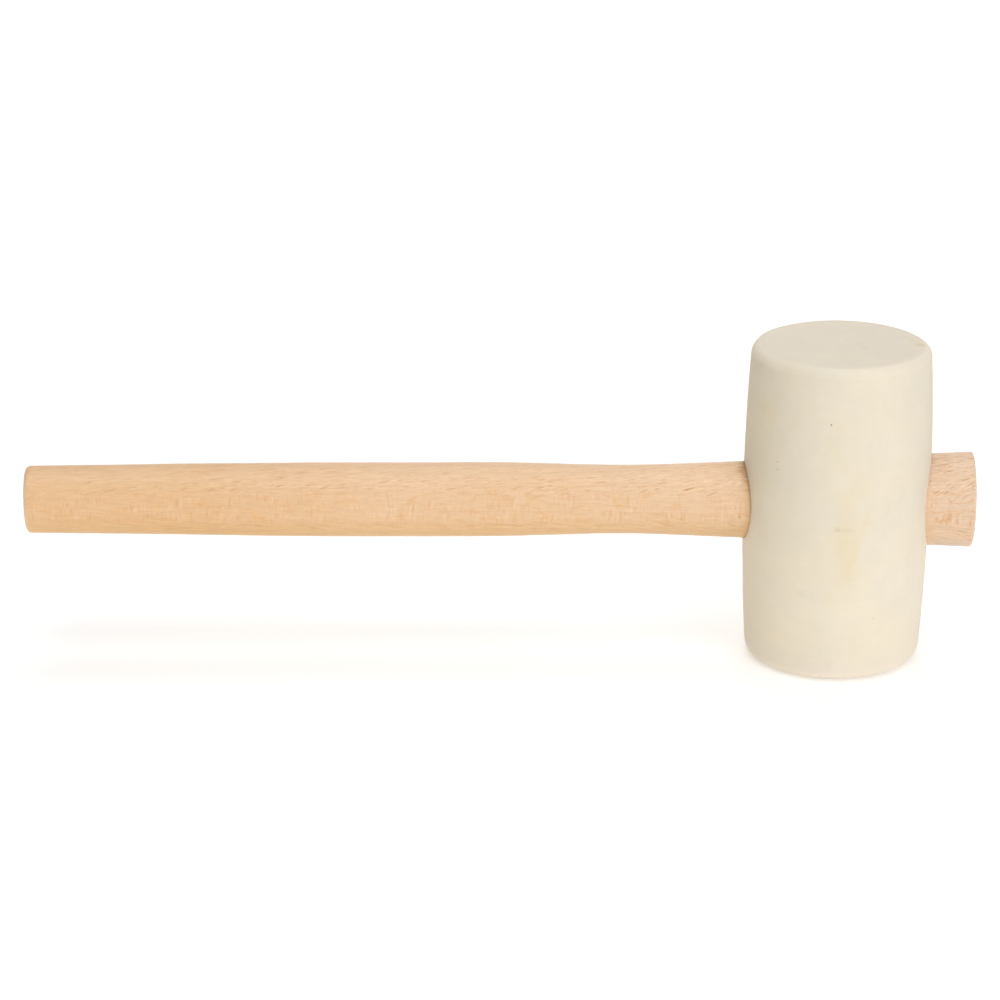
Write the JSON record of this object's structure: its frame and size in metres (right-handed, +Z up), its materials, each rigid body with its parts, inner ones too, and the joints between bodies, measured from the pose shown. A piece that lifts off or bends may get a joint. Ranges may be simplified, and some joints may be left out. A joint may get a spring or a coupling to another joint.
{
  "type": "rubber mallet",
  "caption": "Rubber mallet: a solid white barrel-shaped rubber head wedged on the flared end of an oval one-piece beech handle that runs right through it.",
  "frame": {"origin": "centre of the lower striking face, on the head's axis, so the mallet stands on z = 0", "axes": "+Z up along the head's axis to the upper striking face; +X along the handle from the grip end to the flared end that stands proud of the head; +Y across the thin side of the handle's oval"},
  "size_m": [0.3308, 0.065, 0.114],
  "materials": {
    "white_rubber": "matte",
    "beech": "satin"
  },
  "bodies": {
    "root": {"rubber_head": "white_rubber", "handle": "beech"}
  },
  "joints": []
}
